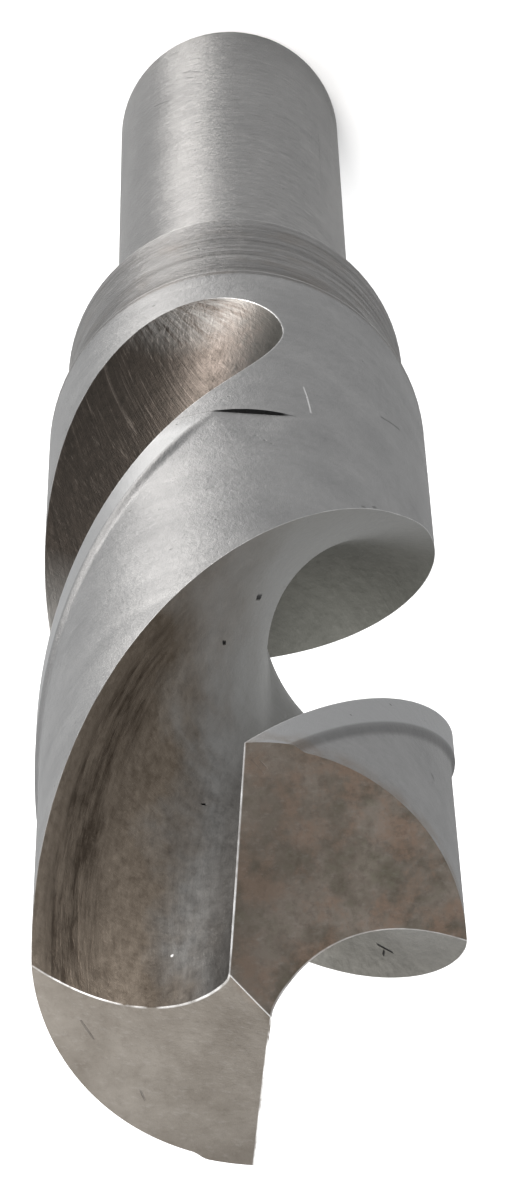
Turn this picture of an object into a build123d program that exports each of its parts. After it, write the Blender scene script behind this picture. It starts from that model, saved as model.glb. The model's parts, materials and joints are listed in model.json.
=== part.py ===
from build123d import *
import os
from math import asin, atan, atan2, cos, degrees, hypot, radians, sin, sqrt, tan

# A reduced-shank twist drill: one bar of hardened steel with two right-hand flutes.
# It stands on the end of its shank, on the Z axis, with its point upwards.
# The two lips run parallel to Y. Lengths are in millimetres, angles in degrees.

# Lengths along the axis
overall_length = 152.4
shank_length = 54.0
neck_length = 13.3
flute_length = 79.4
clearance_length = 58.4

# Diameters
body_diameter = 19.45
neck_diameter = 17.8
shank_diameter = 12.7
cleared_diameter = 19.0

# Turned edges
shank_end_chamfer = 0.5
shoulder_chamfer = 0.6
shoulder_fillet = 1.5
body_chamfer = 0.35

# Flutes
helix_lead = 118.3
web_thickness = 2.55
flute_angle = 92.5
core_angle = 32.6
heel_hollow = 8.6
hollow_inner_radius = 3.5
hollow_outer_radius = 5.55
heel_lean = 18.0
cutter_radius = 22.0
runout_lean = 12.0

# Lands
margin_angle = 11.0
clearance_ramp = 5.0
wheel_mark_height = 6.0

# Point
point_angle = 118.0
lip_offset = 1.0
lip_relief = 8.0
centre_relief = 27.5
heel_relief_rise = 0.1

# How far the cutting tools reach past what they cut, and their steps along the axis
overcut = 1.0
heel_overcut_angle = 5.0
stretch_turn = 60.0
clearance_step = 6.0
runout_step = 2.5
rake_points = 6

body_radius = body_diameter / 2
rake_reach = 1.45 * body_radius
lid_radius = 1.7 * body_radius
neck_radius = neck_diameter / 2
shank_radius = shank_diameter / 2
cleared_radius = cleared_diameter / 2
web_radius = web_thickness / 2
body_start = shank_length + neck_length


# The flank behind each lip is ruled: its lines stay parallel to the lip in plan, and they
# flatten towards the heel, so the relief grows from the corner to the chisel edge.
centre_slope = tan(radians(centre_relief))
relief_loss = (centre_slope - tan(radians(lip_relief))) / body_radius
lip_slope = 1 / tan(radians(point_angle / 2)) - relief_loss * lip_offset


def flank_depth(along, behind):
    """Depth of a flank below the tip, along its lip and behind the drill's centre line."""
    ruled = lip_slope * along + (centre_slope - relief_loss * along) * behind
    return ruled + heel_relief_rise * behind**2 / body_diameter


def twist(height):
    """Turn of the flutes at a height, counted from the tip."""
    return 360 * (height - overall_length) / helix_lead


def polar(radius, angle):
    return Vector(radius * cos(radians(angle)), radius * sin(radians(angle)))


# The chisel edge is where the two flanks meet, so it crosses the lips at these ends.
chisel_reach = centre_slope * lip_offset / lip_slope
corner_reach = sqrt(body_radius**2 - lip_offset**2)
point_height = flank_depth(corner_reach, -lip_offset)


def rake_point(reach):
    """Point of the flute's leading wall in the section at the tip.

    The wall meets the flank in a straight lip, so each point of the lip is
    turned back up the helix by its own depth."""
    depth = flank_depth(reach, -lip_offset)
    angle = degrees(atan2(reach, -lip_offset)) - twist(overall_length - depth)
    return polar(hypot(reach, lip_offset), angle)


lead_edge_angle = 90 + degrees(asin(lip_offset / body_radius)) - twist(overall_length - point_height)
heel_edge_angle = lead_edge_angle + flute_angle
lift_angle = lead_edge_angle + flute_angle / 2 + runout_lean

# The cutter leaves the flute on its own radius, until the flute's floor is clear of the body.
lift_out = body_radius - web_radius
runout_length = sqrt(2 * cutter_radius * lift_out - lift_out**2)
flute_end = overall_length - flute_length
runout_start = flute_end + runout_length


def cutter_lift(height):
    """How far the cutter has moved out of the flute at a height."""
    run = max(0, runout_start - height)
    return cutter_radius - sqrt(cutter_radius**2 - run**2)


def flute_section(height):
    """Plane of the flute's section at a height, turned with the helix and lifted with the cutter."""
    centre = polar(cutter_lift(height), lift_angle + twist(height))
    return Plane((centre.X, centre.Y, height), x_dir=polar(1, twist(height)), z_dir=(0, 0, 1))


def stations(bottom, top, step):
    """Even heights from top to bottom, no further apart than a step."""
    count = int((top - bottom) / step) + 1
    return [top + (bottom - top) * i / count for i in range(count + 1)]


# Blank, turned between centres: shank, shoulder, neck and body
shoulder_height = shank_length - shoulder_chamfer
with BuildPart() as blank:
    with BuildSketch(Plane.XZ):
        with BuildLine():
            Polyline(
                (0, 0),
                (shank_radius - shank_end_chamfer, 0),
                (shank_radius, shank_end_chamfer),
                (shank_radius, shoulder_height),
                (neck_radius - shoulder_chamfer, shoulder_height),
                (neck_radius, shank_length),
                (neck_radius, body_start),
                (body_radius - body_chamfer, body_start),
                (body_radius, body_start + body_chamfer),
                (body_radius, overall_length + overcut),
                (0, overall_length + overcut),
                close=True,
            )
        make_face()
    revolve(axis=Axis.Z)
    shoulder_corner = blank.edges().filter_by(GeomType.CIRCLE).filter_by(
        lambda edge: abs(edge.radius - shank_radius) < 0.01 and edge.center().Z > shank_end_chamfer + 1
    )
    fillet(shoulder_corner, radius=shoulder_fillet)

# Flute: its section is turned along the helix, and at the shank end lifted out with the cutter
helix_top = overall_length + 2 * overcut


def draw_flute_outline():
    """Outline of the flute's section: leading wall, core, heel side and a lid outside the body."""
    step = (rake_reach - chisel_reach) / (rake_points - 1)
    rake = Spline([rake_point(chisel_reach + i * step) for i in range(rake_points)])
    heel = Spline(
        rake @ 0,
        polar(web_radius, heel_edge_angle - core_angle),
        polar(hollow_inner_radius, heel_edge_angle + heel_hollow),
        polar(hollow_outer_radius, heel_edge_angle + heel_hollow),
        polar(body_radius, heel_edge_angle),
        tangents=[-(rake % 0), polar(1, heel_edge_angle - heel_lean)],
    )
    heel_side = Line(heel @ 1, heel @ 1 + (heel % 1) * (rake_reach - body_radius))
    Polyline(heel_side @ 1, polar(lid_radius, lift_angle), rake @ 1)


def flute_stretch(bottom, top):
    """Part of the flute between two heights, its section swept up the axis and turned by the helix."""
    with BuildPart() as stretch:
        with BuildSketch(flute_section(bottom)):
            with BuildLine():
                draw_flute_outline()
            make_face()
        with BuildLine() as axis_line:
            Line((0, 0, bottom), (0, 0, top))
        with BuildLine() as helix:
            Helix(helix_lead, top - bottom, 2 * body_radius, center=(0, 0, bottom))
        sweep(path=axis_line.wire(), binormal=helix.wire())
    return stretch.part


stretch_ends = stations(runout_start, helix_top, helix_lead * stretch_turn / 360)
flute_stretches = [flute_stretch(low, high) for high, low in zip(stretch_ends, stretch_ends[1:])]
with BuildPart() as runout:
    for height in stations(flute_end - overcut, runout_start, runout_step):
        with BuildSketch(flute_section(height)):
            with BuildLine():
                draw_flute_outline()
            make_face()
    loft()

# Body clearance: behind the margin each land is ground down, and the cut ramps out near the flutes' end
clearance_end = overall_length - clearance_length
margin_edge_angle = lead_edge_angle - margin_angle
land_heel_angle = heel_edge_angle - 180
with BuildPart() as clearance:
    for height in stations(clearance_end - overcut, overall_length + 2 * overcut, clearance_step):
        with BuildSketch(Plane((0, 0, height), x_dir=polar(1, twist(height)), z_dir=(0, 0, 1))):
            with BuildLine():
                Polyline(
                    polar(cleared_radius - overcut, margin_edge_angle),
                    polar(lid_radius, margin_edge_angle),
                    polar(lid_radius, land_heel_angle - heel_overcut_angle),
                    polar(cleared_radius - overcut, land_heel_angle - heel_overcut_angle),
                    close=True,
                )
            make_face()
    loft()
    with BuildSketch(Plane.XZ):
        with BuildLine():
            Polyline(
                (body_radius, clearance_end),
                (cleared_radius, clearance_end + clearance_ramp),
                (cleared_radius, overall_length + overcut),
                (2 * body_radius, overall_length + overcut),
                (2 * body_radius, clearance_end),
                close=True,
            )
        make_face()
    revolve(axis=Axis.Z, mode=Mode.INTERSECT)

# Mark of the clearance wheel: a short flat beside the margin that ends in a crescent step
mark_half_angle = degrees(atan(sqrt(body_radius**2 - cleared_radius**2) / cleared_radius))
mark_angle = margin_edge_angle + twist(clearance_end) - mark_half_angle
with BuildPart() as wheel_mark:
    with BuildSketch(Plane(origin=(0, 0, clearance_end), z_dir=(0, 0, 1), x_dir=polar(1, mark_angle))):
        with Locations((cleared_radius, 0)):
            Rectangle(
                2 * (body_radius - cleared_radius),
                body_radius,
                align=(Align.MIN, Align.CENTER),
            )
    extrude(amount=wheel_mark_height)

# Flank: everything above the ruled surface behind one lip
with BuildPart() as flank:
    for behind in (-body_radius - overcut, 0, body_radius + overcut):
        with BuildSketch(Plane.YZ.offset(-behind)):
            with BuildLine():
                reach = body_radius + overcut
                Polyline(
                    (-reach, overall_length - flank_depth(reach, behind)),
                    (reach, overall_length - flank_depth(-reach, behind)),
                    (reach, overall_length + 3 * body_radius),
                    (-reach, overall_length + 3 * body_radius),
                    close=True,
                )
            make_face()
    loft()

# The drill: the blank with both flutes, both clearances and both flanks cut from it
with BuildPart() as twist_drill:
    add(blank.part)
    for tool in (*flute_stretches, runout.part, clearance.part, wheel_mark.part, flank.part):
        for side in (0, 180):
            add(tool, rotation=(0, 0, side), mode=Mode.SUBTRACT)

os.makedirs("parts", exist_ok=True)
twist_drill.part.label = "twist_drill"
export_step(twist_drill.part, "parts/twist_drill.step")
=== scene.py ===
import json
from math import atan2, cos, hypot, pi, radians, sin, sqrt, tan

import bpy
from mathutils import Matrix, Vector


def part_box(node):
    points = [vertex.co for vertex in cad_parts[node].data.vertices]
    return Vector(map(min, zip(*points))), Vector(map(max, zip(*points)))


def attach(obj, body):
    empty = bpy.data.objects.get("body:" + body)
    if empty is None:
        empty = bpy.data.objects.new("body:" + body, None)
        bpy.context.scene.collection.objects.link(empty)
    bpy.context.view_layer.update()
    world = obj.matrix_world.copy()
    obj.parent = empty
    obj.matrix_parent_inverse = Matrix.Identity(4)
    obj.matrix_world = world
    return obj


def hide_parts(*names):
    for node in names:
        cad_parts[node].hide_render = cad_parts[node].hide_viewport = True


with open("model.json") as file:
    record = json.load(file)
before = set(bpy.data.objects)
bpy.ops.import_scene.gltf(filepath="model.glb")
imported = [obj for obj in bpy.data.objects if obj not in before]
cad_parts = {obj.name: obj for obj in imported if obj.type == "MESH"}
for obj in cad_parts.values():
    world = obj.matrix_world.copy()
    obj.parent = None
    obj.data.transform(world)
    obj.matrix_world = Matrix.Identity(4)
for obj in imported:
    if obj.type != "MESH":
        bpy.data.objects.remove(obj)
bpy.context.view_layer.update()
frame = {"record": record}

# ---------------------------------------------------------------------------
# The turned blank
# One bar of high speed steel, turned and ground: a half-inch shank that a
# chuck grips, a neck behind the flutes, and the body that the flutes are cut in.
# ---------------------------------------------------------------------------

MM = 0.001
overall_length = 152.4 * MM
shank_length = 54.0 * MM
neck_length = 13.3 * MM
body_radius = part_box("twist_drill")[1].x
neck_radius = 8.9 * MM
shank_radius = frame["record"]["mounts"][0]["dims"]["r_mm"] * MM
body_start = shank_length + neck_length
end_chamfer = 0.5 * MM
shoulder_chamfer = 0.6 * MM
shoulder_fillet = 1.5 * MM
body_chamfer = 0.35 * MM
edge_round = 0.08 * MM
blank_top = body_start + 3 * body_chamfer
ring_spacing = 1.2 * MM
end_face_rings = 4


def even(start, end, count):
    """Numbers from start to end in equal steps."""
    return [start + (end - start) * i / count for i in range(count + 1)]


def rounded(corner, before, after, radius, steps):
    """A small arc in place of a profile's corner."""
    inward = (Vector(before) - Vector(corner)).normalized()
    outward = (Vector(after) - Vector(corner)).normalized()
    half = inward.angle(outward) / 2
    centre = Vector(corner) + (inward + outward).normalized() * radius / sin(half)
    first = Vector(corner) + inward * radius / tan(half) - centre
    last = Vector(corner) + outward * radius / tan(half) - centre
    return [centre + first.lerp(last, i / steps).normalized() * radius for i in range(steps + 1)]


def turned_profile():
    """Radius and height of the blank's profile, from the body down to the middle of the shank's end."""
    shoulder = shank_length - shoulder_chamfer
    corners = [
        ((body_radius, body_start + body_chamfer), edge_round),
        ((body_radius - body_chamfer, body_start), edge_round),
        ((neck_radius, body_start), edge_round),
        ((neck_radius, shank_length), edge_round),
        ((neck_radius - shoulder_chamfer, shoulder), edge_round),
        ((shank_radius, shoulder), shoulder_fillet),
        ((shank_radius, end_chamfer), edge_round),
        ((shank_radius - end_chamfer, 0.0), edge_round),
    ]
    line = [Vector((body_radius, blank_top))]
    for i, (corner, radius) in enumerate(corners):
        after = corners[i + 1][0] if i + 1 < len(corners) else (0.0, 0.0)
        arc = rounded(corner, line[-1], after, radius, 6 if radius > edge_round else 2)
        gap = (arc[0] - line[-1]).length
        pieces = max(1, int(gap / ring_spacing))
        line += [line[-1].lerp(arc[0], k / pieces) for k in range(1, pieces)] + arc
    inner = line[-1]
    return line + [inner.lerp(Vector((0.0, 0.0)), k / end_face_rings) for k in range(1, end_face_rings + 1)]


# ---------------------------------------------------------------------------
# The ground point
# Two flanks ground on the hardened bar, which fall away behind their lips and
# meet in the chisel edge. The flutes' leading walls are worked out from them.
# ---------------------------------------------------------------------------

point_angle = radians(118.0)
lip_offset = 1.0 * MM
lip_relief = radians(8.0)
centre_relief = radians(27.5)
heel_relief_rise = 0.1

centre_slope = tan(centre_relief)
relief_loss = (centre_slope - tan(lip_relief)) / body_radius
lip_slope = 1 / tan(point_angle / 2) - relief_loss * lip_offset
chisel_reach = centre_slope * lip_offset / lip_slope
corner_reach = sqrt(body_radius**2 - lip_offset**2)


def flank_depth(along, behind):
    """Depth of a flank below the tip, along its lip and behind the drill's centre line."""
    ruled = lip_slope * along + (centre_slope - relief_loss * along) * behind
    return ruled + heel_relief_rise * behind * behind / (2 * body_radius)


def ground_depth(point):
    """Depth below the tip of the ground point, whose two flanks meet at the chisel edge."""
    return max(flank_depth(point.y, point.x), flank_depth(-point.y, -point.x))


# ---------------------------------------------------------------------------
# The flutes
# Two grooves milled in the bar along a right-hand helix. The cutter climbs out
# of each on an arc, and its corners leave a rounder outline where it does.
# ---------------------------------------------------------------------------

flute_length = 79.4 * MM
helix_lead = 118.3 * MM
web_radius = 1.275 * MM
flute_angle = radians(92.5)
core_angle = radians(32.6)
heel_hollow = radians(8.6)
hollow_inner_radius = 3.5 * MM
hollow_outer_radius = 5.55 * MM
heel_lean = radians(18.0)
cutter_radius = 22.0 * MM
run_limit = 0.97
runout_lean = radians(12.0)
ease_lift = 3.0 * MM
ease_passes = 150
ease_points = 90
lip_points = 60
heel_points = 16
slope_sweeps = 60
halvings = 18
trim_rounds = 12


def polar(radius, angle):
    """A point of the section from its radius and angle."""
    return Vector((radius * cos(angle), radius * sin(angle)))


def rake_point(reach):
    """Point of the flute's leading wall in the section at the tip, so that the lip is straight."""
    depth = flank_depth(reach, -lip_offset)
    return polar(hypot(reach, lip_offset), atan2(reach, -lip_offset) + depth * 2 * pi / helix_lead)


def spline_through(points, start, end, steps):
    """Smooth line through points, leaving and arriving along two directions."""
    knots = [0.0]
    for a, b in zip(points, points[1:]):
        knots.append(knots[-1] + (b - a).length)
    slopes = [start.normalized()]
    for i in range(1, len(points) - 1):
        slopes.append((points[i + 1] - points[i - 1]) / (knots[i + 1] - knots[i - 1]))
    slopes.append(end.normalized())
    for sweep in range(slope_sweeps):
        for i in range(1, len(points) - 1):
            before, after = knots[i] - knots[i - 1], knots[i + 1] - knots[i]
            pull = (points[i] - points[i - 1]) * after / before
            pull += (points[i + 1] - points[i]) * before / after
            slopes[i] = (3 * pull - slopes[i - 1] * after - slopes[i + 1] * before) / (2 * (before + after))
    line = []
    for i in range(len(points) - 1):
        span = knots[i + 1] - knots[i]
        for k in range(steps):
            t = k / steps
            line.append(
                points[i] * (2 * t**3 - 3 * t**2 + 1)
                + slopes[i] * span * (t**3 - 2 * t**2 + t)
                + points[i + 1] * (3 * t**2 - 2 * t**3)
                + slopes[i + 1] * span * (t**3 - t**2)
            )
    return line + [points[-1]]


lead_edge = rake_point(corner_reach)
lead_edge_angle = atan2(lead_edge.y, lead_edge.x)
heel_edge_angle = lead_edge_angle + flute_angle
lift_angle = lead_edge_angle + flute_angle / 2 + runout_lean
lift_out = body_radius - web_radius
flute_end = overall_length - flute_length
runout_start = flute_end + sqrt(2 * cutter_radius * lift_out - lift_out**2)

rake_wall = [rake_point(reach) for reach in even(corner_reach, chisel_reach, lip_points)]
heel_wall = spline_through(
    [
        rake_wall[-1],
        polar(web_radius, heel_edge_angle - core_angle),
        polar(hollow_inner_radius, heel_edge_angle + heel_hollow),
        polar(hollow_outer_radius, heel_edge_angle + heel_hollow),
        polar(body_radius, heel_edge_angle),
    ],
    rake_wall[-1] - rake_wall[-2],
    polar(1.0, heel_edge_angle - heel_lean),
    heel_points,
)
outline_points = rake_wall + heel_wall[1:]


def length_of(points):
    """Length of the line through some points."""
    return sum((b - a).length for a, b in zip(points, points[1:]))


def reaches(points):
    """How far along the line each of its points is, from 0 to 1."""
    return [length_of(points[: i + 1]) / length_of(points) for i in range(len(points))]


def point_along(points, reach, place):
    """Point of a line at a share of its length."""
    i = max(1, next((i for i, share in enumerate(reach) if share >= place), len(reach) - 1))
    return points[i - 1].lerp(points[i], (place - reach[i - 1]) / (reach[i] - reach[i - 1]))


outline_length = length_of(outline_points)
outline_reach = reaches(outline_points)
junction = length_of(rake_wall) / outline_length
away = polar(1.0, lift_angle)
deepest = outline_reach[min(range(len(outline_points)), key=lambda i: outline_points[i].dot(away))]

eased_points = [point_along(outline_points, outline_reach, place) for place in even(0.0, 1.0, ease_points)]
for ease_pass in range(ease_passes):
    middles = [(a + b) / 2 for a, b in zip(eased_points, eased_points[2:])]
    eased_points[1:-1] = [point.lerp(middle, 0.5) for point, middle in zip(eased_points[1:-1], middles)]
sunk = min(point.dot(away) for point in eased_points) - min(point.dot(away) for point in outline_points)
eased_points = [point - away * sunk for point in eased_points]
eased_reach = reaches(eased_points)


def wall_point(place, lift=0.0):
    """Point of the flute's outline, from its leading edge at 0 to its heel edge at 1."""
    sharp = point_along(outline_points, outline_reach, place)
    return sharp.lerp(point_along(eased_points, eased_reach, place), min(lift / ease_lift, 1.0))


def cutter_lift(height):
    """How far the cutter has moved out of the flute at a height."""
    run = min(max(0.0, runout_start - height), run_limit * cutter_radius)
    return cutter_radius - sqrt(cutter_radius**2 - run**2)


def crossing(edge, height, reach):
    """Place where the lifted outline crosses a radius, found by halving."""
    lift = cutter_lift(height)
    shift = away * lift
    inner, outer = deepest, edge
    for halving in range(halvings):
        middle = (inner + outer) / 2
        if (wall_point(middle, lift) + shift).length < reach:
            inner = middle
        else:
            outer = middle
    return inner


def rake_crossing(height):
    """Place of the leading edge at a height."""
    return crossing(0.0, height, body_radius) if height < runout_start else 0.0


def twisted(point, height):
    """A point of the section at the tip, turned down the helix to a height."""
    return Matrix.Rotation((height - overall_length) * 2 * pi / helix_lead, 2) @ point


def trimmed(point):
    """Where a line of the skin, turned up the helix, meets the ground point: plan and height."""
    height = overall_length - 0.3 * body_radius
    for trim_round in range(trim_rounds):
        height = overall_length - ground_depth(twisted(point, height))
    return twisted(point, height), height


outline_data = bpy.data.curves.new("flute_outline", "CURVE")
outline_data.dimensions = "3D"
for line in (outline_points, eased_points):
    outline_spline = outline_data.splines.new("POLY")
    outline_spline.points.add(len(line) - 1)
    for point, place in zip(outline_spline.points, line):
        point.co = (place.x, place.y, 0.0, 1.0)
outline = bpy.data.objects.new("flute_outline", outline_data)
bpy.context.scene.collection.objects.link(outline)

# ---------------------------------------------------------------------------
# The lands
# What the flutes leave of the bar. Behind the leading edge a narrow margin
# keeps the full radius, and the rest is ground lower, as far as the wheel's mark.
# ---------------------------------------------------------------------------

clearance_length = 58.4 * MM
cleared_radius = 9.5 * MM
margin_angle = radians(11.0)
step_share = 0.055
clearance_ramp = 5.0 * MM
mark_length = 6.0 * MM
mark_wall = 0.02 * MM
mark_overlap = 1.1
mark_widest = radians(60.0)
clearance_end = overall_length - clearance_length


def heel_crossing(height):
    """Place of the heel edge at a height, where the land behind the margin may be ground down."""
    ramp = min(max((height - clearance_end) / clearance_ramp, 0.0), 1.0)
    return crossing(1.0, height, body_radius - (body_radius - cleared_radius) * ramp)


heel_end = heel_crossing(overall_length)
heel_point = wall_point(heel_end)
land_width = lead_edge_angle + pi - atan2(heel_point.y, heel_point.x) % (2 * pi)
margin_share = margin_angle / land_width


def land_point(place):
    """Point of the land at the tip, from its leading edge at 0 to its heel at 1."""
    angle = lead_edge_angle - place * land_width
    behind = min(max((place - margin_share) / step_share, 0.0), 1.0)
    behind = behind * behind * (3 - 2 * behind)
    return polar(body_radius - (body_radius - cleared_radius) * behind, angle)


# ---------------------------------------------------------------------------
# The skin
# The drill's steel surface, drawn flat as four kinds of sheet before it is
# formed. Rows and columns crowd at edges, at the runout and at the wheel's mark.
# ---------------------------------------------------------------------------

TURNED, FLUTE, LAND, FLANK = range(4)
trim_height = clearance_end + mark_length + 1.0 * MM
below_runout = flute_end - 0.5 * MM
above_runout = flute_end + 1.5 * MM

land_places = (
    [0.0, 0.006, 0.03, 0.065, 0.1, margin_share - 0.008]
    + even(margin_share, margin_share + step_share, 6)
    + even(margin_share + step_share + 0.02, 0.94, 30)
    + [0.965, 0.985, 0.995, 1.0]
)
wall_places = even(0.0, 0.93, 30) + [0.955, 0.975, 0.99, 1.0]
junction_share = junction / heel_end
flute_places = [junction_share * (1 - place) for place in reversed(wall_places)]
flute_places += [junction_share + (1 - junction_share) * place for place in wall_places[1:]]
heights = (
    even(blank_top, below_runout - 0.1 * MM, 12)
    + even(below_runout, above_runout, 30)
    + even(above_runout + 0.12 * MM, clearance_end, 64)
    + even(clearance_end + mark_wall, trim_height, 24)
    + even(trim_height, overall_length, 150)[1:]
)

verts, faces, face_kinds, vert_kinds, tops, sides, lays = [], [], [], [], [], [], []


def sheet(kind, columns, rows, place):
    """Adds one flat sheet of the skin. Place gives a vertex and its notes from its column and row."""
    first = len(verts)
    for row in rows:
        for column in columns:
            vertex, top, side, lay = place(column, row)
            verts.append(vertex)
            vert_kinds.append(kind)
            tops.append(top)
            sides.append(side)
            lays.append(lay)
    wide = len(columns)
    for row in range(len(rows) - 1):
        for corner in range(first + row * wide, first + (row + 1) * wide - 1):
            faces.append((corner, corner + 1, corner + wide + 1, corner + wide))
            face_kinds.append(kind)


body_rows = [(height, rake_crossing(height), heel_crossing(height)) for height in heights]
flute_columns = [(place, trimmed(wall_point(place * heel_end))[1]) for place in flute_places]
land_columns = [(place, trimmed(land_point(place))[1]) for place in land_places]


def below_point(top, height):
    """How far the skin at a height of the flat sheet ends up under the edge of the point."""
    if height < trim_height:
        return top - height
    return (top - trim_height) * (overall_length - height) / (overall_length - trim_height)


def flute_note(column, row):
    """Flute vertex, its top, the row's sides, and how far it lies from the edges round it."""
    (share, top), (height, rake, heel) = column, row
    wide = (heel - rake) * outline_length
    lay = (share * wide, (1 - share) * wide, below_point(top, height))
    return (share, FLUTE, height), top, (rake, heel, 0.0), lay


def land_note(column, row):
    """Land vertex, with the same notes."""
    (share, top), (height, rake, heel) = column, row
    wide = land_width * body_radius
    lay = (share * wide, (1 - share) * wide, below_point(top, height))
    return (share, LAND, height), top, (rake, heel, 0.0), lay


def turned_note(column, point):
    """Vertex of the turned blank, which lies far from every edge of the flutes."""
    radius, height = point
    return (column, -radius, height), 0.0, (*body_rows[0][1:], 0.0), (1.0, 1.0, 1.0)


def flank_plan(place, out):
    """Plan of the flank, blended from its lip, its heel, the land behind it and the chisel edge."""
    share = land_places.index(place) / (len(land_places) - 1)
    lip = trimmed(wall_point(junction * (1 - out)))[0]
    heel = -trimmed(wall_point(junction + (heel_end - junction) * out))[0]
    arc = trimmed(land_point(place))[0]
    inner, lip_end = trimmed(wall_point(junction))[0], trimmed(wall_point(0.0))[0]
    far_end = -trimmed(wall_point(heel_end))[0]
    chisel = inner * (1 - 2 * share)
    corners = (inner * (1 - 2 * place)) * (1 - out) + (lip_end * (1 - place) + far_end * place) * out
    return lip * (1 - place) + heel * place + chisel * (1 - out) + arc * out - corners


def flank_note(place, out):
    """Flank vertex, and how far it lies from the lip, the heel and the land behind."""
    plan = flank_plan(place, out)
    wide = (flank_plan(0.0, out) - flank_plan(1.0, out)).length
    lay = (wide * place, wide * (1 - place), (flank_plan(place, 1.0) - plan).length)
    return (*plan, FLANK), 0.0, (0.0, 0.0, 0.0), lay


sheet(FLUTE, flute_columns, body_rows, flute_note)
sheet(LAND, land_columns[::-1], body_rows, land_note)
sheet(TURNED, land_places, turned_profile(), turned_note)
sheet(FLANK, land_places, wall_places, flank_note)

skin = bpy.data.meshes.new("drill_skin")
skin.from_pydata(verts, [], faces)
lay_values = [distance / MM for face in faces for corner in face for distance in lays[corner]]
side_values = [value for side in sides for value in side]
for name, kind, domain, values in (
    ("region", "INT", "FACE", face_kinds),
    ("lay", "FLOAT_VECTOR", "CORNER", lay_values),
    ("kind", "INT", "POINT", vert_kinds),
    ("top", "FLOAT", "POINT", tops),
    ("sides", "FLOAT_VECTOR", "POINT", side_values),
):
    note = skin.attributes.new(name, kind, domain)
    note.data.foreach_set("vector" if kind == "FLOAT_VECTOR" else "value", values)


# ---------------------------------------------------------------------------
# The steel's finishes
# One hardened steel, left as each tool left it. Every finish is noise on the
# metal in millimetres, with painted highlights along the edges, some painted
# shade, and the nicks and stains of use.
# ---------------------------------------------------------------------------


class Wire:
    """A socket in a node tree. A sum or product written with it adds its Math node."""

    def __init__(self, tree, socket=None):
        self.tree = tree
        self.socket = socket

    def node(self, kind, settings, values, output=0):
        """Adds a node: its settings first, then its inputs, each a number or another wire."""
        made = self.tree.nodes.new(kind)
        for name, value in settings.items():
            if name == "stops":
                ramp = made.color_ramp.elements
                while len(ramp) < len(value):
                    ramp.new(0.5)
                for stop, (place, colour) in zip(ramp, value):
                    stop.position = place
                    stop.color = colour
            else:
                setattr(made, name, value)
        for key, value in values.items():
            if isinstance(value, Wire):
                self.tree.links.new(value.socket, made.inputs[key])
            else:
                made.inputs[key].default_value = value
        return Wire(self.tree, made.outputs[output])

    def also(self, output):
        """Another output of the node that this wire comes from."""
        return Wire(self.tree, self.socket.node.outputs[output])

    def math(self, operation, *values):
        """A Math node on some values."""
        return self.node("ShaderNodeMath", {"operation": operation}, dict(enumerate(values)))

    def __add__(self, other):
        return self.math("ADD", self, other)

    def __radd__(self, other):
        return self.math("ADD", other, self)

    def __sub__(self, other):
        return self.math("SUBTRACT", self, other)

    def __rsub__(self, other):
        return self.math("SUBTRACT", other, self)

    def __mul__(self, other):
        return self.math("MULTIPLY", self, other)

    def __rmul__(self, other):
        return self.math("MULTIPLY", other, self)

    def __truediv__(self, other):
        return self.math("DIVIDE", self, other)

    def __rtruediv__(self, other):
        return self.math("DIVIDE", other, self)

    def __neg__(self):
        return self.math("MULTIPLY", self, -1.0)

    def __abs__(self):
        return self.math("ABSOLUTE", self)

    def sin(self):
        return self.math("SINE", self)

    def cos(self):
        return self.math("COSINE", self)

    def sqrt(self):
        return self.math("SQRT", self)

    def below(self, other):
        return self.math("LESS_THAN", self, other)

    def least(self, other):
        return self.math("MINIMUM", self, other)

    def most(self, other):
        return self.math("MAXIMUM", self, other)

    def between(self, low, high):
        """This value, held between two others."""
        return self.most(low).least(high)


def band(value, low, high):
    """Rises from 0 to 1 as the value goes from low to high."""
    return ((value - low) / (high - low)).between(0, 1)


def near(value, middle, inner, outer):
    """Falls from 1 to 0 as the value leaves a middle, between two distances from it."""
    return 1 - band(abs(value - middle), inner, outer)


def grey(level, warm=1.0):
    """A grey, warmer above 1 and cooler below it."""
    return (level * warm, level, level / warm, 1.0)


# Colour of the painted highlights along the steel's edges
painted_highlight_grey = grey(0.75)
nick_dark = grey(0.04)
axial_sheen = 0.25


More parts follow.
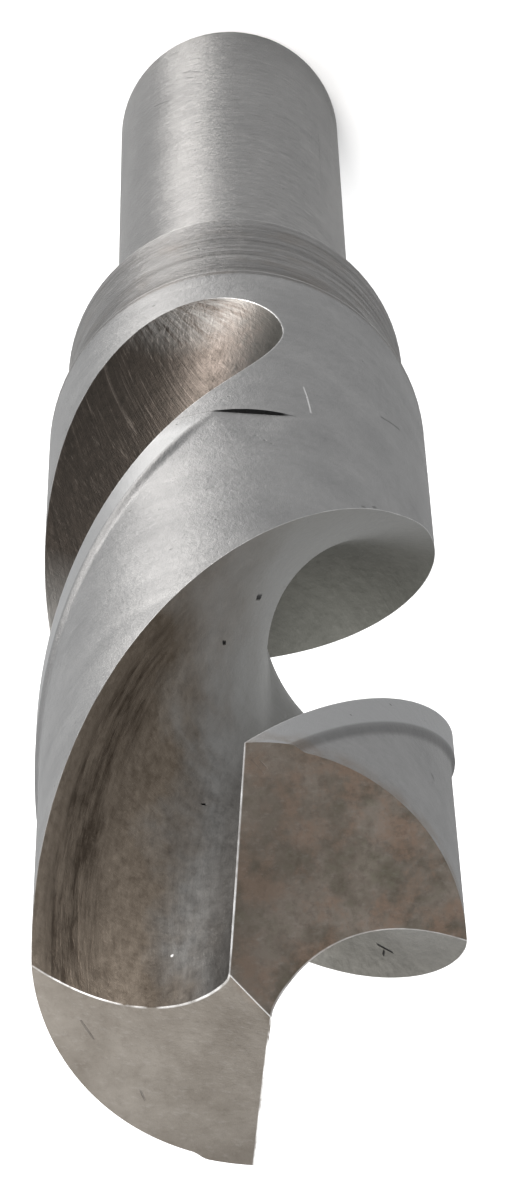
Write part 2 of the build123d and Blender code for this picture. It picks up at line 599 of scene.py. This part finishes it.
class Steel:
    """A bare steel surface in the making: its shader, its coordinates in millimetres and its patterns."""

    def __init__(self, name, grain, edge_tint):
        self.material = bpy.data.materials.new(name)
        self.material.use_nodes = True
        self.shader = self.material.node_tree.nodes["Principled BSDF"]
        self.shader.inputs["Metallic"].default_value = 1.0
        self.shader.inputs["Anisotropic"].default_value = grain
        self.shader.inputs["Anisotropic Rotation"].default_value = axial_sheen
        self.shader.inputs["Specular Tint"].default_value = grey(edge_tint)
        self.net = Wire(self.material.node_tree)
        metres = self.net.node("ShaderNodeTexCoord", {}, {}, "Object")
        self.place = self.vector("MULTIPLY", metres, (1 / MM, 1 / MM, 1 / MM))
        self.x = self.net.node("ShaderNodeSeparateXYZ", {}, {0: self.place}, "X")
        self.y = self.x.also("Y")
        self.z = self.x.also("Z")
        self.lay = self.net.node("ShaderNodeAttribute", {"attribute_name": "lay"}, {}, "Vector")
        self.lead = self.net.node("ShaderNodeSeparateXYZ", {}, {0: self.lay}, "X")
        self.heel = self.lead.also("Y")
        self.end = self.lead.also("Z")

    def vector(self, operation, *values, output="Vector"):
        """A Vector Math node on some vectors."""
        settings = {"operation": operation}
        return self.net.node("ShaderNodeVectorMath", settings, dict(enumerate(values)), output)

    def noise(self, factors, detail=3.0, rough=0.55, offset=0.0, place=None):
        """Noise whose grain is finer along an axis where its factor is larger."""
        vector = self.vector("MULTIPLY_ADD", place or self.place, factors, (offset, offset, offset))
        values = {"Vector": vector, "Scale": 1.0, "Detail": detail, "Roughness": rough}
        return self.net.node("ShaderNodeTexNoise", {}, values, "Fac")

    def spots(self, factors, size, offset=0.0):
        """Scattered small spots, one where each cell's middle lies."""
        vector = self.vector("MULTIPLY_ADD", self.place, factors, (offset, offset, offset))
        values = {"Vector": vector, "Scale": 1.0}
        away = self.net.node("ShaderNodeTexVoronoi", {"feature": "F1"}, values, "Distance")
        return 1 - band(away, size * 0.6, size)

    def mark(self, start, end, width):
        """A nick or scratch from one point to another, in millimetres."""
        start, end = Vector(start), Vector(end)
        along = end - start
        from_start = self.vector("SUBTRACT", self.place, tuple(start))
        share = self.vector("DOT_PRODUCT", from_start, tuple(along / along.length_squared), output="Value")
        stretch = {0: tuple(along), "Scale": share.between(0, 1)}
        nearest = self.net.node("ShaderNodeVectorMath", {"operation": "SCALE"}, stretch)
        away = self.vector("DISTANCE", from_start, nearest, output="Value")
        return 1 - band(away, width * 0.35, width)

    def marks(self, places):
        """Nicks and scratches together."""
        total = self.mark(*places[0])
        for place in places[1:]:
            total = total.most(self.mark(*place))
        return total

    def edge(self, away, width, patchiness):
        """Painted highlight along an edge, broken up unevenly."""
        return (1 - band(away, width * 0.4, width)) * band(patchiness, 0.3, 0.6)

    def blend(self, share, first, second):
        """One colour, with a share of another."""
        return self.net.node("ShaderNodeMix", {"data_type": "RGBA"}, {0: share, 6: first, 7: second}, 2)

    def finish(self, colour, roughness, relief, depth):
        """Joins the patterns to the shader: colour, roughness and a relief of so many millimetres."""
        links = self.material.node_tree.links
        links.new(colour.socket, self.shader.inputs["Base Color"])
        links.new(roughness.socket, self.shader.inputs["Roughness"])
        values = {"Strength": 1.0, "Distance": depth * MM, "Height": relief}
        bump = self.net.node("ShaderNodeBump", {}, values, "Normal")
        links.new(bump.socket, self.shader.inputs["Normal"])
        return self.material


# The turned shank and neck: rings left by the lathe, and the grip marks of chucks.

neck_range = (shank_length / MM - 0.4, shank_length / MM)
# Heights of a painted shade line on the neck below the body, and of painted highlights on the edges of the
# body's and the shank's shoulders
shoulder_shade_z = body_start / MM - 1.9
body_highlight_z = body_start / MM + 0.2
neck_highlight_z = shank_length / MM - 0.1
shank_nicks = (
    ((3.13, -5.52, 8.2), (2.24, -5.94, 9.3), 0.11),
    ((3.02, -5.58, 9.7), (2.60, -5.80, 10.4), 0.07),
    ((4.77, -4.19, 11.7), (4.01, -4.92, 13.0), 0.08),
    ((-3.54, -5.27, 14.5), (-4.29, -4.68, 14.3), 0.035),
    ((-4.29, -4.68, 14.3), (-4.64, -4.33, 15.6), 0.035),
    ((-4.64, -4.33, 15.6), (-4.67, -4.29, 28.4), 0.03),
)


def turned_steel():
    """Ground shank and turned neck: rings round the axis, a rippled sheen, stains, nicks and dark specks, a
    painted shade line on the neck below the body and painted highlights on the shoulders' edges.
    """
    steel = Steel("turned_steel", 1.0, 0.5)
    rings = steel.noise((0.06, 0.06, 1.8), 6.0, 0.75)
    cloud = steel.noise((0.25, 0.25, 0.12), 3.0)
    flecks = steel.noise((1.5, 1.5, 3.4), 4.0, 0.75)
    stain = steel.noise((0.4, 0.4, 0.5), 4.0, 0.65, 11.0)
    thinned = band(steel.noise((0.5, 0.5, 0.5), 1.0, 0.5, 7.0), 0.55, 0.62)
    specks = steel.spots((1.1, 1.1, 0.8), 0.10) * thinned
    neck = band(steel.z, *neck_range)
    # Painted shade line on the neck, and painted highlights on the shoulder edges
    shoulder_shade = near(steel.z, shoulder_shade_z, 0.25, 0.5)
    corner = near(steel.z, body_highlight_z, 0.12, 0.3) * 0.6
    corner = corner.most(near(steel.z, neck_highlight_z, 0.1, 0.25) * 0.5)
    nicks = steel.marks(shank_nicks)
    tint = band(cloud, 0.35, 0.65) * 0.3 + band(rings, 0.3, 0.7) * 0.35 + band(flecks, 0.3, 0.7) * 0.35
    colour = steel.blend(tint, grey(0.130), grey(0.205, 1.01))
    colour = steel.blend(band(flecks, 0.56, 0.68) * 0.30, colour, grey(0.32, 1.02))
    colour = steel.blend((1 - band(flecks, 0.32, 0.44)) * 0.35, colour, grey(0.075))
    colour = steel.blend(neck * (0.2 + band(rings, 0.42, 0.60) * 0.75), colour, grey(0.070, 1.02))
    colour = steel.blend(neck * band(stain, 0.50, 0.66) * 0.25, colour, (0.110, 0.094, 0.080, 1.0))
    # Painted shade line, then painted highlights on the shoulder edges
    colour = steel.blend(shoulder_shade * 0.5, colour, grey(0.06, 1.02))
    colour = steel.blend(corner, colour, grey(0.5))
    colour = steel.blend((specks * 0.7).most(nicks * 0.45), colour, nick_dark)
    roughness = 0.27 + rings * 0.06 + cloud * 0.05
    relief = rings * (0.4 + neck * 0.8) + flecks * 1.6 - (specks + nicks) * 0.5
    return steel.finish(colour, roughness, relief, 0.05)


# The ground lands: margins that ran on the hole's wall, and the lower land behind them.

margin_width = margin_angle * body_radius / MM
ground_range = (clearance_end / MM, clearance_end / MM + 2.0)
# Height and end of the painted shadow of the crescent step at the wheel's mark
crescent_shadow_height = (clearance_end + mark_wall / 2) / MM
crescent_shadow_end = (5.4, 5.7)
open_flute = (flute_end / MM + 0.4, flute_end / MM + 1.0)
land_nicks = (
    ((-6.50, -7.23, 84.8), (-7.54, -6.14, 82.9), 0.12),
    ((-5.14, -8.00, 103.6), (-5.25, -7.92, 103.4), 0.12),
    ((-5.70, -7.60, 102.2), (-5.85, -7.48, 101.8), 0.12),
    ((2.44, -9.18, 106.7), (2.06, -9.27, 106.4), 0.06),
    ((-7.80, -5.42, 136.5), (-7.85, -5.35, 136.7), 0.16),
    ((-0.60, -9.48, 98.6), (-1.10, -9.43, 98.4), 0.04),
)
land_scratch = (
    ((-2.39, -9.42, 88.2), (-2.55, -9.39, 89.8), 0.05),
    ((-2.55, -9.39, 89.8), (-2.71, -9.34, 92.5), 0.06),
)


def land_steel():
    """Ground lands: a rippled sheen, lighter margins, painted highlights on the edges, painted shade on the
    margin's step and at the wheel's mark, heat tint by the point, nicks from use.
    """
    steel = Steel("land_steel", 0.88, 0.5)
    rings = steel.noise((0.08, 0.08, 1.8), 6.0, 0.75)
    cloud = steel.noise((0.22, 0.22, 0.22), 3.0, 0.5, 3.0)
    flecks = steel.noise((2.2, 2.2, 1.3), 5.0, 0.75)
    patchiness = steel.noise((0.8, 0.8, 0.8), 3.0, 0.6, 2.0)
    thinned = band(steel.noise((0.4, 0.4, 0.4), 1.0, 0.5, 5.0), 0.56, 0.62)
    specks = steel.spots((0.9, 0.9, 0.9), 0.09, 4.0) * thinned
    ground = band(steel.z, *ground_range)
    margin = (1 - band(steel.lead, margin_width - 0.1, margin_width + 0.2)) * ground
    # Painted shade on the step between the margin and the cleared land
    step_shade = band(steel.lead, margin_width - 0.15, margin_width)
    step_shade = step_shade * (1 - band(steel.lead, margin_width + 0.45, margin_width + 0.7)) * ground
    heated = (1 - band(steel.end, 0.3, 2.2)) * band(patchiness, 0.35, 0.6)
    # Painted shadow of the crescent step at the wheel's mark
    crescent_shadow = near(steel.z, crescent_shadow_height, 0.012, 0.03) * (1 - band(steel.lead, *crescent_shadow_end))
    nicks = steel.marks(land_nicks)
    scratch = steel.marks(land_scratch)
    at_flute = band(steel.z, *open_flute)
    # Painted highlights along the leading and heel edges where the flute is open
    edge_highlight = steel.edge(steel.lead, 0.06, patchiness) * at_flute
    edge_highlight = edge_highlight.most(steel.edge(steel.heel, 0.05, patchiness) * at_flute)
    tint = band(cloud, 0.3, 0.7) * 0.4 + band(flecks, 0.3, 0.7) * 0.35 + band(rings, 0.3, 0.7) * 0.25
    colour = steel.blend(tint, grey(0.125, 0.99), grey(0.205, 1.0))
    colour = steel.blend(margin * 0.8, colour, grey(0.215, 0.985))
    # Painted shade on the step
    colour = steel.blend(step_shade * 0.4, colour, grey(0.085))
    colour = steel.blend(heated * 0.6, colour, (0.125, 0.103, 0.085, 1.0))
    # Painted edge highlights, and bright scratches
    colour = steel.blend((edge_highlight * 0.5).most(scratch * 0.6), colour, grey(0.5))
    # Dark specks and nicks, and the painted crescent shadow
    colour = steel.blend((specks * 0.7).most(nicks * 0.5).most(crescent_shadow), colour, grey(0.02))
    roughness = 0.36 + rings * 0.08 + cloud * 0.06 + step_shade * 0.15
    relief = (rings * 0.5 + flecks) * (1 - margin * 0.5) - (specks + nicks) * 0.6
    return steel.finish(colour, roughness, relief, 0.05)


# The milled flutes: streaks along the helix, browned by the heat of cutting and pitted.
# Ranges are in millimetres: from the heel edge, from the point or up the drill.

core_range = (5.0, 7.8)
upper_range = (22.0, 40.0)
shade_range = (7.6, 8.6)
shade_end = (22.0, 36.0)
runout_range = (86.0, 96.0)
streak_start = (0.3, 1.0)
streak_end = (2.2, 3.8)
streak_top = (20.0, 28.0)
bowl_range = (75.5, 79.5)
bowl_lean = (-2.0, 4.0)
rim_range = (73.9, 75.0)
glint_range = (76.0, 86.0)
front_range = (-2.5, 1.5)
# A painted glint at a chip
chip_glint = ((3.31, 0.73, 145.7), (3.33, 0.72, 145.8), 0.09)
flute_pits = (
    ((-0.22, -5.37, 111.1), (-0.42, -5.12, 110.2), 0.17),
    ((1.40, -4.82, 117.0), (1.25, -4.70, 116.6), 0.12),
    ((2.11, -1.51, 131.2), (1.99, -1.49, 131.1), 0.10),
    ((-6.30, 4.45, 131.4), (-6.93, 4.25, 132.9), 0.13),
    ((-6.62, 5.02, 131.2), (-6.60, 4.60, 131.8), 0.10),
)


def flute_steel():
    """Milled flutes: browned by heat, grey along the core, streaked and pitted, with painted shade low on the
    back flute, painted highlights on the edges, and a painted highlight and glints where they run out.
    """
    steel = Steel("flute_steel", 0.3, 0.4)
    cloud = steel.noise((0.22, 0.22, 0.12), 4.0, 0.6)
    blotch = steel.noise((0.9, 0.0, 0.16), 6.0, 0.7, 5.0, steel.lay)
    fine = steel.noise((2.2, 2.2, 1.0), 5.0, 0.7, 2.0)
    streaks = steel.noise((3.2, 0.0, 0.25), 5.0, 0.65, 9.0, steel.lay)
    hatch = steel.noise((5.0, 0.0, 0.9), 4.0, 0.75, 1.0, steel.lay) * 0.5
    hatch = hatch + steel.noise((1.4, 0.0, 4.0), 4.0, 0.75, 3.0, steel.lay) * 0.5
    patchiness = steel.noise((0.7, 0.7, 0.7), 3.0, 0.6, 2.0)
    tint = band(fine, 0.3, 0.7) * 0.45 + band(blotch, 0.3, 0.7) * 0.3 + band(hatch, 0.35, 0.65) * 0.25

    # Brown walls in front and olive ones behind
    front = band(steel.x, *front_range)
    brown = steel.blend(tint, (0.034, 0.027, 0.021, 1.0), (0.122, 0.104, 0.086, 1.0))
    olive = steel.blend(tint, (0.095, 0.092, 0.082, 1.0), (0.240, 0.232, 0.212, 1.0))
    colour = steel.blend(front, olive, brown)

    # The rubbed grey core, lighter up the flute and shaded by the lip
    core = band(steel.heel + (cloud - 0.5) * 8.0, *core_range)
    upper = band(steel.end + (cloud - 0.5) * 24.0, *upper_range)
    core_tint = band(streaks * 0.5 + fine * 0.5, 0.35, 0.65)
    core_grey = steel.blend(core_tint, (0.075, 0.076, 0.076, 1.0), (0.135, 0.137, 0.137, 1.0))
    colour = steel.blend(core * 0.75, colour, core_grey)
    colour = steel.blend(upper * 0.9, colour, (0.190, 0.191, 0.187, 1.0))
    shade = band(steel.heel, *shade_range) * (1 - band(steel.end, *shade_end))
    colour = steel.blend(shade * 0.5, colour, (0.050, 0.046, 0.042, 1.0))
    # Painted shade: the back flute darker below the runout range
    behind = (1 - band(steel.z, *runout_range)) * (1 - front)
    shaded_olive = steel.blend(tint, (0.055, 0.055, 0.047, 1.0), (0.115, 0.114, 0.101, 1.0))
    colour = steel.blend(behind * 0.9, colour, shaded_olive)

    # Dark streaks beside the heel, near the point
    dark_streaks = band(steel.heel, *streak_start) * (1 - band(steel.heel + (fine - 0.5) * 2.0, *streak_end))
    dark_streaks = dark_streaks * band(blotch * 0.45 + streaks * 0.35 + fine * 0.2, 0.44, 0.56)
    dark_streaks = dark_streaks * (1 - band(steel.end, *streak_top))
    colour = steel.blend(dark_streaks * front * 0.85, colour, (0.018, 0.014, 0.011, 1.0))

    # The runout: nearly black, with a scraped bowl, scuffed streaks on its rim painted light as a highlight,
    # and painted crossed glints
    runout = (1 - band(steel.z, *runout_range)) * front
    soot = steel.blend(tint, (0.013, 0.011, 0.009, 1.0), (0.036, 0.029, 0.024, 1.0))
    colour = steel.blend(runout * 0.96, colour, soot)
    bowl = runout * (1 - band(steel.lead - steel.heel, *bowl_lean)) * (1 - band(steel.z, *bowl_range))
    scraped = band(fine * 0.5 + hatch * 0.5, 0.36, 0.60)
    colour = steel.blend(bowl * scraped, colour, (0.100, 0.085, 0.076, 1.0))
    # Painted highlight: the scuffed rim lighter
    rim_highlight = (1 - band(steel.z + (streaks - 0.5) * 2.0, *rim_range)) * runout
    scuffed = band(streaks * 0.6 + hatch * 0.4, 0.42, 0.60)
    colour = steel.blend(rim_highlight * scuffed, colour, (0.14, 0.137, 0.132, 1.0))
    glints = band(hatch, 0.54, 0.74) * runout * (1 - band(steel.z, *glint_range) * 0.7)
    colour = steel.blend(glints * 0.6, colour, (0.20, 0.175, 0.155, 1.0))

    # Pits, painted highlights along the edges and a painted glint at a chip
    pits = steel.marks(flute_pits)
    colour = steel.blend(pits, colour, grey(0.006))
    # Painted highlights along the edges, and a painted glint at a chip
    edge_highlight = steel.edge(steel.lead, 0.06, patchiness).most(steel.edge(steel.end, 0.09, patchiness)) * 0.8
    edge_highlight = edge_highlight.most(steel.edge(steel.heel, 0.04, patchiness) * 0.25).most(steel.mark(*chip_glint) * 0.6)
    colour = steel.blend(edge_highlight, colour, painted_highlight_grey)
    roughness = 0.36 + fine * 0.14 + cloud * 0.06
    relief = streaks * 0.5 + fine * 0.7 + hatch * (0.3 + runout * 0.9) - (pits * 2 + dark_streaks * 0.6)
    return steel.finish(colour, roughness, relief, 0.045)


# The ground flanks: one left tan and one browned by the heat of cutting, each a little scratched.

flank_scratches = (
    ((0.62, -9.03, 147.4), (0.06, -8.50, 147.6), 0.05),
    ((0.40, -9.10, 147.3), (-0.05, -8.75, 147.5), 0.04),
    ((0.30, -7.60, 148.0), (-0.20, -7.90, 147.8), 0.04),
    ((7.07, 3.45, 147.5), (6.45, 4.21, 147.5), 0.06),
    ((4.27, 6.40, 147.6), (4.00, 6.90, 147.4), 0.06),
    ((-3.20, -5.60, 147.9), (-3.90, -5.30, 147.6), 0.05),
    ((-1.80, -3.00, 149.9), (-2.30, -3.30, 149.5), 0.04),
)


def flank_steel():
    """Ground point: tan and brown mottling over faint grinding lines, with short scratches and painted
    highlights along the lip, the heel and the chisel edge.
    """
    steel = Steel("flank_steel", 0.0, 0.5)
    cloud = steel.noise((0.35, 0.35, 0.35), 4.0, 0.65)
    patch = steel.noise((0.55, 0.55, 0.55), 5.0, 0.7, 12.0)
    fine = steel.noise((2.0, 2.0, 2.0), 6.0, 0.75, 4.0)
    lines = steel.noise((2.0, 4.0, 2.0), 4.0, 0.7, 6.0)
    patchiness = steel.noise((0.7, 0.7, 0.7), 3.0, 0.6, 2.0)
    side = lip_slope * steel.y + centre_slope * steel.x
    browned = 1 - band(side, -0.3, 0.3)
    pale = steel.blend(band(cloud, 0.3, 0.7), (0.104, 0.092, 0.079, 1.0), (0.148, 0.134, 0.118, 1.0))
    brown = steel.blend(band(cloud, 0.38, 0.62), (0.080, 0.068, 0.053, 1.0), (0.175, 0.151, 0.130, 1.0))
    brown = steel.blend(band(patch, 0.48, 0.62) * 0.7, brown, (0.180, 0.128, 0.098, 1.0))
    brown = steel.blend((1 - band(patch, 0.30, 0.46)) * 0.6, brown, (0.115, 0.112, 0.082, 1.0))
    brown = steel.blend((1 - band(steel.lead, 1.0, 5.0)) * 0.45, brown, (0.068, 0.058, 0.048, 1.0))
    colour = steel.blend(browned, pale, brown)
    mottle = band(fine, 0.50, 0.72) * (0.25 + browned * 0.30)
    colour = steel.blend(mottle, colour, (0.070, 0.058, 0.048, 1.0))
    colour = steel.blend(band(lines, 0.54, 0.72) * 0.10, colour, grey(0.33, 1.03))
    scratches = steel.marks(flank_scratches)
    colour = steel.blend(scratches * 0.25, colour, nick_dark)
    # Painted highlights along the chisel edge, the lip and the heel
    chisel = near(side, 0.0, 0.008, 0.03)
    edge_highlight = steel.edge(steel.lead, 0.07, patchiness).most(chisel * 0.6)
    edge_highlight = edge_highlight.most(steel.edge(steel.heel, 0.05, patchiness) * 0.6)
    colour = steel.blend(edge_highlight * 0.9, colour, painted_highlight_grey)
    roughness = 0.40 + fine * 0.12
    relief = lines * 0.5 + fine * 0.8 - scratches * 0.5
    return steel.finish(colour, roughness, relief, 0.035)


# ---------------------------------------------------------------------------
# The finished drill
# A tree of nodes does the grinding: it twists the flat skin round the bar, runs
# the flutes out, meets the point, adds the other half and gives each its finish.
# ---------------------------------------------------------------------------

weld_distance = 0.007 * MM
honed_edge = 0.04 * MM

tree = bpy.data.node_groups.new("grind_drill", "GeometryNodeTree")
tree.interface.new_socket("Skin", in_out="INPUT", socket_type="NodeSocketGeometry")
sizes = {
    "Overall Length": overall_length,
    "Helix Lead": helix_lead,
    "Body Radius": body_radius,
    "Cleared Radius": cleared_radius,
    "Leading Edge Angle": lead_edge_angle,
    "Lift Angle": lift_angle,
    "Cutter Radius": cutter_radius,
    "Ease Lift": ease_lift,
    "Runout Start": runout_start,
    "Margin Angle": margin_angle,
    "Margin Share": margin_share,
    "Step Share": step_share,
    "Clearance End": clearance_end,
    "Clearance Ramp": clearance_ramp,
    "Mark Length": mark_length,
    "Trim Height": trim_height,
    "Lip Slope": lip_slope,
    "Centre Slope": centre_slope,
    "Relief Loss": relief_loss,
    "Heel Relief Rise": heel_relief_rise,
}
for name in sizes:
    tree.interface.new_socket(name, in_out="INPUT", socket_type="NodeSocketFloat")
tree.interface.new_socket("Flute Outline", in_out="INPUT", socket_type="NodeSocketObject")
tree.interface.new_socket("Drill", in_out="OUTPUT", socket_type="NodeSocketGeometry")
entry = tree.nodes.new("NodeGroupInput")
net = Wire(tree)
size = {name: Wire(tree, entry.outputs[name]) for name in sizes}
length, lead, radius = size["Overall Length"], size["Helix Lead"], size["Body Radius"]
low_radius, cleared_from, cutter = size["Cleared Radius"], size["Clearance End"], size["Cutter Radius"]
outlines = {"Object": Wire(tree, entry.outputs["Flute Outline"])}
drawn = net.node("GeometryNodeObjectInfo", {}, outlines, "Geometry")


def parts_of(vector):
    """The x, y and z of a vector."""
    x = net.node("ShaderNodeSeparateXYZ", {}, {0: vector}, "X")
    return x, x.also("Y"), x.also("Z")


def point_at(x, y, z):
    """A vector from its x, y and z."""
    return net.node("ShaderNodeCombineXYZ", {}, {0: x, 1: y, 2: z})


def noted(name, kind):
    """What the skin's attribute of this name says."""
    return net.node("GeometryNodeInputNamedAttribute", {"data_type": kind}, {"Name": name})


def wall_at(place, line):
    """Point of the flute's sharp outline, line 0, or of its rounder one, line 1."""
    values = {"Curves": drawn, "Factor": place, "Curve Index": line}
    x, y, _ = parts_of(net.node("GeometryNodeSampleCurve", {"mode": "FACTOR"}, values, "Position"))
    return x, y


def turned_by(x, y, angle):
    """A point of the section, turned round the axis."""
    c, s = angle.cos(), angle.sin()
    return x * c - y * s, x * s + y * c


def twist(height):
    """Angle that the helix has turned through at a height."""
    return (height - length) * (2 * pi) / lead


def lifted(place, lift):
    """A flute outline point carried out of the body with the cutter."""
    x, y = wall_at(place, 0)
    round_x, round_y = wall_at(place, 1)
    share = (lift / size["Ease Lift"]).least(1)
    x, y = x + (round_x - x) * share, y + (round_y - y) * share
    return x + size["Lift Angle"].cos() * lift, y + size["Lift Angle"].sin() * lift


def flank_below(x, y):
    """Depth of the ground point under the tip."""
    ruled = size["Lip Slope"] * y + size["Centre Slope"] * x
    bend = size["Heel Relief Rise"] * x * x / (radius * 2) - size["Relief Loss"] * x * y
    return ruled + bend


def land_radius(place, height, angle):
    """Radius of the land: margin, step, ground clearance, its ramp and the wheel's mark."""
    ramp = ((height - cleared_from) / size["Clearance Ramp"]).between(0, 1)
    behind = ((place - size["Margin Share"]) / size["Step Share"]).between(0, 1)
    behind = behind * behind * (3 - 2 * behind)
    cleared = radius - (radius - low_radius) * ramp * behind
    mark_half = (radius * radius - low_radius * low_radius).sqrt() / low_radius
    mark_middle = size["Leading Edge Angle"] - size["Margin Angle"] - mark_half + twist(cleared_from)
    flat = low_radius / (angle - mark_middle).cos().most(cos(mark_widest))
    inside = (cleared_from + mark_wall / 2).below(height) * height.below(cleared_from + size["Mark Length"])
    beside = abs(angle - mark_middle).below(mark_half * mark_overlap)
    return cleared.least(flat + (1 - inside * beside))


flat_x, flat_y, flat_z = parts_of(net.node("GeometryNodeInputPosition", {}, {}))
rake_side, heel_side, _ = parts_of(noted("sides", "FLOAT_VECTOR"))

# The skin follows the turning up to the trim height, and then stretches to meet the point.
trim = size["Trim Height"]
skin_height = flat_z.least(trim) + (flat_z - trim).most(0) * (noted("top", "FLOAT") - trim) / (length - trim)
run = (size["Runout Start"] - flat_z).between(0, cutter * run_limit)
lift = cutter - (cutter * cutter - run * run).sqrt()

x, y = lifted(rake_side + flat_x * (heel_side - rake_side), lift)
shrink = (radius / (x * x + y * y).sqrt()).least(1)
flute_skin = point_at(*turned_by(x * shrink, y * shrink, twist(skin_height)), skin_height)


def edge_angle(place, lift):
    """Angle of an edge of the flute in the section, at a lift of the cutter."""
    x, y = lifted(place, lift)
    return net.math("FLOORED_MODULO", net.math("ARCTAN2", y, x), 2 * pi)


def land_angle(at_lift):
    """Angle of the land in the section, between the leading edge and the other flute's heel."""
    lead_now, heel_now = edge_angle(rake_side, at_lift), edge_angle(heel_side, at_lift)
    return lead_now - flat_x * (lead_now + pi - heel_now)


angle = land_angle(lift) + twist(skin_height)
reach = land_radius(flat_x, skin_height, angle)
land_skin = point_at(reach * angle.cos(), reach * angle.sin(), skin_height)

low_angle = land_angle(cutter_lift(heights[0])) + twist(heights[0])
turned_skin = point_at(-flat_y * low_angle.cos(), -flat_y * low_angle.sin(), flat_z)
flank_skin = point_at(flat_x, flat_y, length - flank_below(flat_x, flat_y))

kind_here = noted("kind", "INT")
half_drill = Wire(tree, entry.outputs["Skin"])
for kind, position in ((TURNED, turned_skin), (FLUTE, flute_skin), (LAND, land_skin), (FLANK, flank_skin)):
    values = {"Geometry": half_drill, "Selection": abs(kind_here - kind).below(0.5), "Position": position}
    half_drill = net.node("GeometryNodeSetPosition", {}, values)
other_half = net.node("GeometryNodeTransform", {}, {"Geometry": half_drill, "Rotation": (0.0, 0.0, pi)})
both = tree.nodes.new("GeometryNodeJoinGeometry")
tree.links.new(half_drill.socket, both.inputs[0])
tree.links.new(other_half.socket, both.inputs[0])
joined = {"Geometry": Wire(tree, both.outputs[0]), "Distance": weld_distance}
welded = net.node("GeometryNodeMergeByDistance", {}, joined)
smooth = net.node("GeometryNodeSetShadeSmooth", {}, {"Geometry": welded})
whole = net.node("GeometryNodeRealizeInstances", {}, {"Geometry": smooth})
region = noted("region", "INT")
finishes = {TURNED: turned_steel(), FLUTE: flute_steel(), LAND: land_steel(), FLANK: flank_steel()}
for kind, finish in finishes.items():
    values = {"Geometry": whole, "Selection": abs(region - kind).below(0.5), "Material": finish}
    whole = net.node("GeometryNodeSetMaterial", {}, values)
end = tree.nodes.new("NodeGroupOutput")
tree.links.new(whole.socket, end.inputs[0])

skin.materials.append(finishes[TURNED])
drill = bpy.data.objects.new("drill_steel", skin)
bpy.context.scene.collection.objects.link(drill)
grind = drill.modifiers.new("grind", "NODES")
grind.node_group = tree
for item in tree.interface.items_tree:
    if item.name in sizes:
        grind[item.identifier] = sizes[item.name]
    if item.name == "Flute Outline":
        grind[item.identifier] = outline
edges = drill.modifiers.new("edges", "BEVEL")
edges.width = honed_edge
edges.segments = 2
edges.limit_method = "ANGLE"
edges.angle_limit = radians(24)
edges.harden_normals = True
shaped = bpy.data.meshes.new_from_object(drill.evaluated_get(bpy.context.evaluated_depsgraph_get()))
drill.modifiers.clear()
drill.data = shaped
bpy.data.objects.remove(outline)
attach(drill, "root")
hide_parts("twist_drill")

# ---------------------------------------------------------------------------
# Floor, camera and light
# The drill stands on its shank on white paper and is seen from high above its
# point. One low, wide lamp in front of it and a pale room light the steel.
# ---------------------------------------------------------------------------

floor_half = 3.0
floor_corners = [(x * floor_half, y * floor_half, 0.0) for x, y in ((-1, -1), (1, -1), (1, 1), (-1, 1))]
floor_mesh = bpy.data.meshes.new("floor")
floor_mesh.from_pydata(floor_corners, [], [(0, 1, 2, 3)])
floor = bpy.data.objects.new("floor", floor_mesh)
bpy.context.scene.collection.objects.link(floor)
paper = bpy.data.materials.new("white_paper")
paper.use_nodes = True
paper.node_tree.nodes["Principled BSDF"].inputs["Base Color"].default_value = grey(0.95)
paper.node_tree.nodes["Principled BSDF"].inputs["Roughness"].default_value = 0.9
floor_mesh.materials.append(paper)

view_turn = radians(5.95)
view_pitch = 0.2961
view_yaw = 0.0013
view_roll = -0.0241
eye_back = 6.6942 * 2 * body_radius
eye_up = 18.9468 * 2 * body_radius
image_height = 1200
focal_pixels = 9093.5

camera_data = bpy.data.cameras.new("camera")
camera_data.sensor_width = 36.0
camera_data.lens = focal_pixels * camera_data.sensor_width / image_height
camera_data.clip_start = 0.01
camera_data.clip_end = 10.0
camera = bpy.data.objects.new("camera", camera_data)
bpy.context.scene.collection.objects.link(camera)
camera.matrix_world = (
    Matrix.Rotation(view_turn, 4, "Z")
    @ Matrix.Translation((0.0, -eye_back, overall_length + eye_up))
    @ Matrix.Rotation(view_pitch, 4, "X")
    @ Matrix.Rotation(view_yaw, 4, "Y")
    @ Matrix.Rotation(pi + view_roll, 4, "Z")
)
bpy.context.scene.camera = camera

bright_side = (0.92, 0.4, 0.0)
room_levels = ((0.1, grey(1.15)), (0.5, grey(0.95)), (0.95, grey(3.6)))
world = bpy.data.worlds.new("studio")
bpy.context.scene.world = world
world.use_nodes = True
sky = Wire(world.node_tree)
direction = sky.node("ShaderNodeTexCoord", {}, {}, "Generated")
facing = {0: direction, 1: bright_side}
toward = sky.node("ShaderNodeVectorMath", {"operation": "DOT_PRODUCT"}, facing, "Value")
glow = sky.node("ShaderNodeValToRGB", {"stops": room_levels}, {0: toward * 0.5 + 0.5})
world.node_tree.links.new(glow.socket, world.node_tree.nodes["Background"].inputs["Color"])
bpy.context.scene.view_settings.view_transform = "Standard"

key_light = bpy.data.lights.new("key_light", "AREA")
key_light.shape = "RECTANGLE"
key_light.size = 0.40
key_light.size_y = 0.22
key_light.energy = 12.0
key_light.color = (1.0, 0.965, 0.93)
key_lamp = bpy.data.objects.new("key_light", key_light)
bpy.context.scene.collection.objects.link(key_lamp)
key_lamp.visible_camera = False
key_lamp.location = (0.45, -0.69, 0.14)
to_drill = Vector((0.0, 0.0, overall_length / 2)) - key_lamp.location
key_lamp.rotation_euler = to_drill.to_track_quat("-Z", "Y").to_euler()
